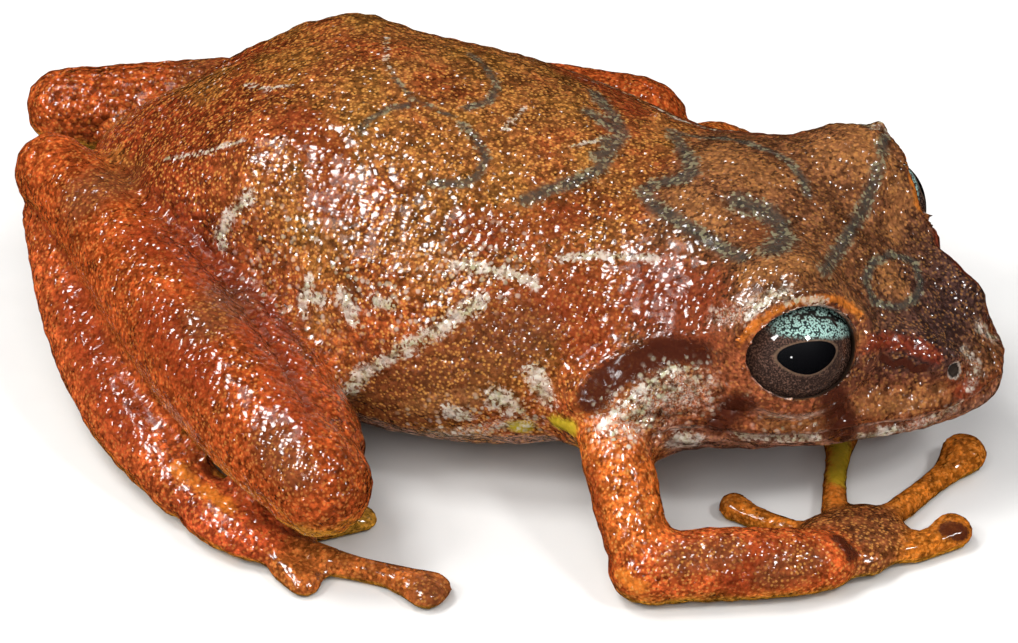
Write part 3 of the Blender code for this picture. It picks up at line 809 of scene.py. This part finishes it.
def eye_finish(look):
    """A dark iris with silvery flecks above, a wide pupil and a wet clear surface."""
    made = Finish("frog_eye")
    place = made.millimetres()
    fleck = made.noise(place, 14.0, 4, 0.75)
    veins = made.cells(place, 13.0)
    pupil, high, ahead, out = (made.attribute(name) for name in ("pupil", "up", "ahead", "round"))
    ragged = (fleck - 0.5) * 0.5
    colour = made.mix(fleck.rise(0.5, 0.59), look.dark_iris_colour, look.iris_colour)
    silver = made.mix((veins + ragged * 0.6).rise(0.42, 0.64), look.silver_colour, VEIN_BLACK)
    crown = (high + ragged * 0.5).rise(0.55, 0.8) * (ahead + ragged * 1.2).rise(-1.3, -0.7)
    colour = made.mix(crown, colour, silver)
    wave = high + ahead * ahead * 0.1 + (made.noise(place, 2.2, 1) - 0.5) * 1.1
    wavy = wave.rise(1.38, 1.44) * wave.rise(1.6, 1.54) * ahead.rise(-0.4, -0.1)
    colour = made.mix(wavy, colour, WAVE_BLACK)
    colour = made.mix(out.rise(1.95, 2.3), colour, RIM_BLACK)
    ring = pupil.rise(-0.1, -0.05) * pupil.rise(0.01, -0.03)
    colour = made.mix(ring * 0.5, colour, PUPIL_RING)
    colour = made.mix(pupil.rise(-0.03, 0.0), colour, PUPIL_BLACK)
    made.set(
        Base_Color=colour,
        Roughness=0.6,
        Specular_IOR_Level=0.2,
        Coat_Weight=1.0,
        Coat_Roughness=0.01,
        Coat_IOR=1.6,
    )
    return made.material


def measure(name, default, description, **limits):
    """A size in millimetres."""
    return FloatProperty(name=name, description=description + ", in mm", default=default, **limits)


def colour(name, default, description):
    return FloatVectorProperty(
        name=name, description=description, subtype="COLOR", default=default
    )


def power(name, default, description):
    return FloatProperty(name=name, description=description, default=default, unit="POWER")


class SkinLook(PropertyGroup):
    voxel: measure("Mesh size", 0.205, "Side of the mesh's faces", min=0.1)
    swell: measure("Swelling", 0.22, "How far the solids swell to meet")
    granule_size: measure("Granule size", 0.36, "Width of a skin granule")
    speckle_size: measure("Speckle size", 0.12, "Width of a speck of colour")
    dot_size: measure("Dot size", 0.2, "Width of a pale granule")
    drop_size: measure("Drop size", 0.7, "Width of the wet domes on the lips")
    granule_height: measure("Granule height", 0.055, "Height of a skin granule")
    wart_height: measure("Wart height", 0.11, "Height of the coarse warts")
    wetness: FloatProperty(
        name="Wetness", description="Weight of the wet coat", default=0.15, min=0, max=1
    )
    back_colour: colour("Back", (0.25, 0.082, 0.021), "Ground of the back")
    olive_gold_colour: colour("Olive gold", (0.26, 0.108, 0.02), "Golden clouds on the trunk")
    rust_colour: colour("Rust", (0.27, 0.046, 0.012), "Rusty clouds on the trunk")
    dark_colour: colour("Dark", (0.055, 0.012, 0.006), "Ear band and lip bars")
    olive_colour: colour("Olive", (0.042, 0.043, 0.036), "Curved lines of the back and crown")
    lichen_colour: colour("Lichen", (0.40, 0.38, 0.22), "Specks at the edge of those lines")
    pale_colour: colour("Pale", (0.64, 0.57, 0.48), "Pale bars and granules")
    red_colour: colour("Red", (0.22, 0.026, 0.008), "Red patches")
    # Also the painted shade between the eyes
    brown_colour: colour("Brown", (0.15, 0.045, 0.016), "Brown bands")
    tan_colour: colour("Tan", (0.33, 0.13, 0.042), "Tan patches of the head")
    # Painted shade in the folds of the legs
    crease_shade_colour: colour("Creases", (0.12, 0.014, 0.006), "Folds of the legs")
    orange_colour: colour("Orange", (0.62, 0.17, 0.02), "Eyelid rim, elbow and fingers")
    gold_colour: colour("Gold", (0.70, 0.32, 0.07), "Fine flecks all over")
    yellow_colour: colour("Yellow", (0.5, 0.4, 0.02), "Lower flank and first finger")


class EyeLook(PropertyGroup):
    iris_colour: colour("Iris", (0.15, 0.075, 0.05), "Flecks of the iris")
    dark_iris_colour: colour("Dark iris", (0.022, 0.011, 0.008), "The iris between its flecks")
    silver_colour: colour("Iris top", (0.40, 0.62, 0.55), "Silvery top of the iris")
    pupil_wide: measure("Pupil half width", 1.1, "Half the pupil's width")
    pupil_high: measure("Pupil half height", 0.6, "Half the pupil's height")


class StageLook(PropertyGroup):
    floor_colour: colour("Floor", (0.74, 0.73, 0.71), "Paper under the frog")
    key_power: power("Key light", 0.78, "The main soft light")
    fill_power: power("Fill lights", 0.3, "Each of the two weaker soft lights")
    glint_power: power("Glint lights", 1.35, "The small lights that glint in wet skin")
    ambient: FloatProperty(
        name="Ambient", description="Strength of the light from all round", default=0.35
    )


class FrogLook(PropertyGroup):
    skin: PointerProperty(type=SkinLook)
    eyes: PointerProperty(type=EyeLook)
    stage: PointerProperty(type=StageLook)


class FROG_OT_skin(Operator):
    """Join the solids of the flesh into one skin, then sculpt and colour it"""

    bl_idname = "rain_frog.skin"
    bl_label = "Skin"

    def execute(self, context):
        look = context.scene.rain_frog.skin
        copies = [swollen_copy(node, look.swell) for node in FLESH]
        select_only(*copies)
        bpy.ops.object.join()
        skin = context.view_layer.objects.active
        skin.name = skin.data.name = "skin"
        remesh = skin.modifiers.new("even_mesh", "REMESH")
        remesh.mode = "VOXEL"
        remesh.voxel_size = look.voxel * MM
        bpy.ops.object.modifier_apply(modifier=remesh.name)
        drop_small_pieces(skin)
        surface = Surface(skin)
        weights = region_weights(surface)
        self.shape(surface, weights, look)
        surface = self.roughen(skin, surface, weights, look)
        self.colour(surface, weights)
        skin.data.materials.append(skin_finish(look))
        skin.data.shade_smooth()
        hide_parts(*FLESH)
        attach(skin, BODY)
        return {"FINISHED"}

    def shape(self, surface, weights, look):
        """Evens out the joins, then sculpts the lids, mouth, nostrils, folds and warts."""
        body = weights["back"] + weights["head"]
        off_eyes = steps(eye_distance(surface.points), *NEAR_EYE)
        digits = weights["finger"] + weights["toe"]
        surface.relax(0.5 + 0.5 * body * off_eyes, 4)
        neck = 1 - steps(np.abs(surface.points[:, 0] - NECK_X), 1.5, 4.0)
        surface.relax(body * off_eyes * neck, 24)
        surface.relax((1 - body) * (1 - digits), 8)
        surface.push(np.full(len(surface.points), -look.swell * TAKEN_BACK))
        surface.put_back()
        meet_eyes(surface)
        carve_mouth_and_nose(surface)
        sight = Sight(surface)
        lift = np.zeros(len(surface.points))
        for name, (width, height, mirrored, pixels) in RAISED.items():
            distance = both_sides(surface.points, sight.line(name, pixels), mirrored)
            lift += height * hump(distance, width)
        surface.push(lift)
        surface.put_back()

    def roughen(self, skin, surface, weights, look):
        """Coarse warts in the mesh itself, on the parts that are granular in life."""
        from_eye = eye_distance(surface.points)
        smooth = weights["finger"] + weights["toe"] + 0.7 * weights["hand"]
        grain = np.clip(1 - smooth, 0.12, 1) * steps(from_eye, 2.3, 3.4)
        surface.keep("grain", 0.25 + 0.75 * grain)
        low_head = weights["head"] * (1 - steps(surface.points[:, 2], 5.8, 7.2))
        surface.keep("drops", low_head * steps(from_eye, 2.5, 3.2))
        group = skin.vertex_groups.new(name="granular")
        for level in range(1, 11):
            members = np.flatnonzero(np.round(grain * 10) == level)
            group.add(members.tolist(), level / 10, "REPLACE")
        pattern = bpy.data.textures.new("warts", "VORONOI")
        pattern.noise_scale = WART_WIDE * MM
        pattern.noise_intensity = 1.0
        select_only(skin)
        warts = skin.modifiers.new("warts", "DISPLACE")
        warts.texture = pattern
        warts.texture_coords = "LOCAL"
        warts.vertex_group = group.name
        warts.mid_level = 0.5
        warts.strength = -look.wart_height * MM
        bpy.ops.object.modifier_apply(modifier=warts.name)
        skin.vertex_groups.clear()
        surface = Surface(skin)
        surface.points[:, 2] = np.maximum(surface.points[:, 2], 0.0)
        surface.put_back()
        return surface

    def colour(self, surface, weights):
        """Keeps for each point its ground colour and how strongly each channel marks it."""
        surface.keep("ground", ground_colours(surface, weights))
        arms = weights["arm"] + weights["forearm"] + weights["hand"]
        golden = 0.3 + 0.3 * weights["back"] + 0.22 * arms - 0.08 * weights["head"]
        surface.keep("golden", golden)
        surface.keep("trunk", 0.6 * weights["back"])
        sight = Sight(surface)
        reach = {name: np.zeros(len(surface.points)) for name in CHANNELS}
        for name, (channel, width, mirrored, pixels) in MARKS.items():
            distance = both_sides(surface.points, sight.line(name, pixels), mirrored)
            reach[channel] = np.maximum(reach[channel], np.clip(1 - distance / (2 * width), 0, 1))
        for _, side in SIDES:
            ring, high, ahead = round_the_lids(surface.points, side)
            rim = np.where(ahead, 0.8 * hump(ring - 1.13, 0.1) * steps(high, 0.15, 0.6), 0)
            reach["orange"] = np.maximum(reach["orange"], rim)
        # Painted shade: a dark rim where the skin meets an eyeball, and a dark line along the mouth
        sockets = 1 - steps(eye_distance(surface.points), EYE_RADIUS + 0.08, EYE_RADIUS + 0.3)
        x, _, z = surface.points.T
        sideways = steps(0.9 - np.abs(surface.normals[:, 2]), 0, 0.3)
        lips = 0.5 * hump(z - lip_level(x), 0.1) * steps(x, 6.4, 7.4) * sideways
        surface.keep("hole_shade", np.maximum(sockets, lips))
        for name, values in reach.items():
            surface.keep(name, values)


class FROG_OT_eyes(Operator):
    """Turn two eyeballs with a bulging cornea and paint the iris and pupil on them"""

    bl_idname = "rain_frog.eyes"
    bl_label = "Eyes"

    def execute(self, context):
        look = context.scene.rain_frog.eyes
        finish = eye_finish(look)
        for name, side in SIDES:
            bpy.ops.object.select_all(action="DESELECT")
            bpy.ops.mesh.primitive_uv_sphere_add(segments=96, ring_count=64, radius=EYE_RADIUS * MM)
            ball = context.view_layer.objects.active
            ball.name = ball.data.name = "eyeball_" + name
            out, across, up = eye_frame(side, PUPIL_AXIS)
            turned = np.array([tuple(v.co) for v in ball.data.vertices]) / MM
            off_axis = np.hypot(turned[:, 0], turned[:, 1])
            dome = CORNEA_HIGH * np.clip(1 - (off_axis / CORNEA_WIDE) ** 2, 0, 1)
            turned[:, 2] += np.where(turned[:, 2] > 0, dome, 0)
            placed = turned[:, :1] * across + turned[:, 1:2] * up + turned[:, 2:] * out
            placed += eye_centre(side) + ORIGIN
            ball.data.vertices.foreach_set("co", (placed * MM).astype(np.float32).ravel())
            ball.data.update()
            surface = Surface(ball)
            ahead, rise = -side * turned[:, 0], turned[:, 1]
            depth = self.pupil_depth(ahead, rise, look)
            surface.keep("pupil", np.where(turned[:, 2] > 0, depth, -1.0))
            surface.keep("up", rise + 0.24 * ahead)
            surface.keep("ahead", ahead)
            surface.keep("round", np.where(turned[:, 2] > 0, off_axis, 3.0))
            ball.data.materials.append(finish)
            ball.data.shade_smooth()
            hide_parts("eye_" + name)
            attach(ball, BODY)
        return {"FINISHED"}

    def pupil_depth(self, ahead, rise, look):
        """How far inside the pupil each point is, and below 0 outside: a lens, fuller below."""
        level, tilt = math.cos(PUPIL_TILT), math.sin(PUPIL_TILT)
        wide = np.abs(ahead * level - rise * tilt) / look.pupil_wide
        high = (rise * level + ahead * tilt) / look.pupil_high
        above = 1 - (wide**2.2 + np.abs(high / 0.85) ** 2.2) ** (1 / 2.2)
        below = 1 - (wide**1.7 + np.abs(high / 1.12) ** 1.5) ** (1 / 1.6)
        return np.where(high > 0, above, below) * look.pupil_high


def aim(piece, target):
    """Turns a light or the camera at a point in metres."""
    piece.rotation_mode = "QUATERNION"
    piece.rotation_quaternion = (Vector(target) - piece.location).to_track_quat("-Z", "Y")


def area_light(name, place, size, power, target, glints):
    """A square light. One that doesn't glint lights the skin softly, and adds no glare to it."""
    light = bpy.data.lights.new(name, "AREA")
    light.shape = "SQUARE"
    light.size = size * MM
    light.energy = power
    made = bpy.data.objects.new(name, light)
    bpy.context.scene.collection.objects.link(made)
    made.location = [c * MM for c in place]
    made.visible_glossy = glints
    aim(made, target)


class FROG_OT_stage(Operator):
    """Lay a pale floor, hang soft lights and stand the camera where the photograph was taken"""

    bl_idname = "rain_frog.stage"
    bl_label = "Stage"

    def execute(self, context):
        look = context.scene.rain_frog.stage
        bpy.ops.object.select_all(action="DESELECT")
        bpy.ops.mesh.primitive_circle_add(vertices=96, radius=FLOOR_WIDE / 2 * MM, fill_type="NGON")
        floor = context.view_layer.objects.active
        floor.name = floor.data.name = "floor"
        floor.data.transform(floor.matrix_world)
        floor.matrix_world.identity()
        for vertex in floor.data.vertices:
            vertex.co.z = -FLOOR_GAP * MM
        paper = Finish("floor_paper")
        grain = 0.97 + paper.noise(paper.millimetres(), 0.6, 3) * 0.06
        paper.set(Base_Color=paper.scaled(look.floor_colour, grain), Roughness=0.85)
        floor.data.materials.append(paper.material)
        floor.visible_glossy = False
        target = (CAMERA_TARGET + ORIGIN) * MM
        powers = {"key": look.key_power, "fill": look.fill_power, "glint": look.glint_power}
        for name, kind, place, size, share in LIGHTS:
            area_light(name, place, size, share * powers[kind], target, kind == "glint")
        world = bpy.data.worlds.new("pale_room")
        world.use_nodes = True
        sky = world.node_tree.nodes["Background"]
        sky.inputs["Color"].default_value = SKY
        sky.inputs["Strength"].default_value = look.ambient
        world.cycles_visibility.glossy = False
        context.scene.world = world
        context.scene.view_settings.view_transform = "Standard"
        camera = bpy.data.objects.new("camera", bpy.data.cameras.new("camera"))
        context.scene.collection.objects.link(camera)
        camera.data.sensor_width = SENSOR
        camera.data.lens = PIXELS_PER_MM * CAMERA_FAR / PHOTO_WIDE * SENSOR
        camera.data.clip_start, camera.data.clip_end = 0.01, 10.0
        camera.location = Vector((CAMERA_TARGET + ORIGIN + BACK * CAMERA_FAR) * MM)
        aim(camera, target)
        context.scene.camera = camera
        return {"FINISHED"}


class FROG_PT_panel(Panel):
    """Lists the frog's pieces and their sizes and colours"""

    bl_idname = "FROG_PT_panel"
    bl_label = "Rain frog"
    bl_space_type = "VIEW_3D"
    bl_region_type = "UI"
    bl_category = "Rain frog"

    def draw(self, context):
        look = context.scene.rain_frog
        operators = (FROG_OT_skin, FROG_OT_eyes, FROG_OT_stage)
        for operator, group in zip(operators, (look.skin, look.eyes, look.stage)):
            box = self.layout.box()
            box.operator(operator.bl_idname)
            for name in group.bl_rna.properties.keys():
                if name not in ("rna_type", "name"):
                    box.prop(group, name)


CLASSES = (
    SkinLook,
    EyeLook,
    StageLook,
    FrogLook,
    FROG_OT_skin,
    FROG_OT_eyes,
    FROG_OT_stage,
    FROG_PT_panel,
)


def register():
    for made in CLASSES:
        bpy.utils.register_class(made)
    bpy.types.Scene.rain_frog = PointerProperty(type=FrogLook)


def unregister():
    del bpy.types.Scene.rain_frog
    for made in reversed(CLASSES):
        bpy.utils.unregister_class(made)


def main():
    register()
    bpy.ops.rain_frog.stage()
    bpy.ops.rain_frog.skin()
    bpy.ops.rain_frog.eyes()


if __name__ == "__main__":
    main()
